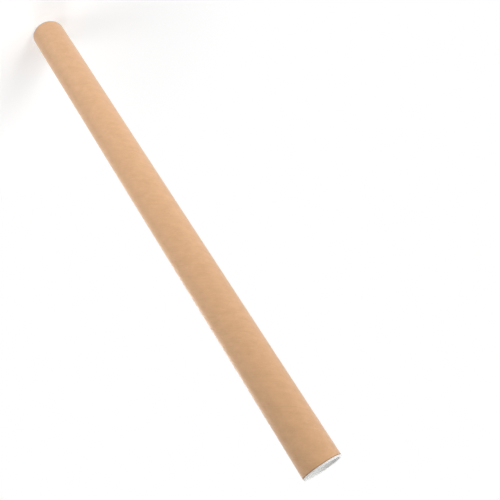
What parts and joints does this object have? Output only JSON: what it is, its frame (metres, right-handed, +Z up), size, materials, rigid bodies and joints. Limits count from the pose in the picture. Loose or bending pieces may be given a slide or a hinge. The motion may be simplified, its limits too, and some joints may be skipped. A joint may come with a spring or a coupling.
{
  "type": "mailing tube",
  "caption": "Long round tube of spiral-wound brown paper for mailing rolled sheets, closed at each end by a push-in white plastic plug with a flange and a finger recess.",
  "frame": {"origin": "on the tube's axis, at the outer face of the bottom plug's flange, where the tube stands on the floor", "axes": "+Z up along the tube's axis, from the bottom plug to the top plug; X and Y are level, and the part is round about Z"},
  "size_m": [0.053, 0.0528, 0.8294],
  "materials": {
    "brown_paper": "matte",
    "white_plastic": "satin"
  },
  "bodies": {
    "bottom_plug": {"bottom_plug": "white_plastic"},
    "tube": {"paper_tube": "brown_paper"},
    "top_plug": {"top_plug": "white_plastic"}
  },
  "joints": [
    {"name": "bottom_plug_pull", "type": "slide", "parent": "bottom_plug", "child": "tube", "axis": [0, 0, 1], "range_m": [0, 0.028]},
    {"name": "top_plug_pull", "type": "slide", "parent": "tube", "child": "top_plug", "axis": [0, 0, 1], "range_m": [0, 0.028]}
  ]
}
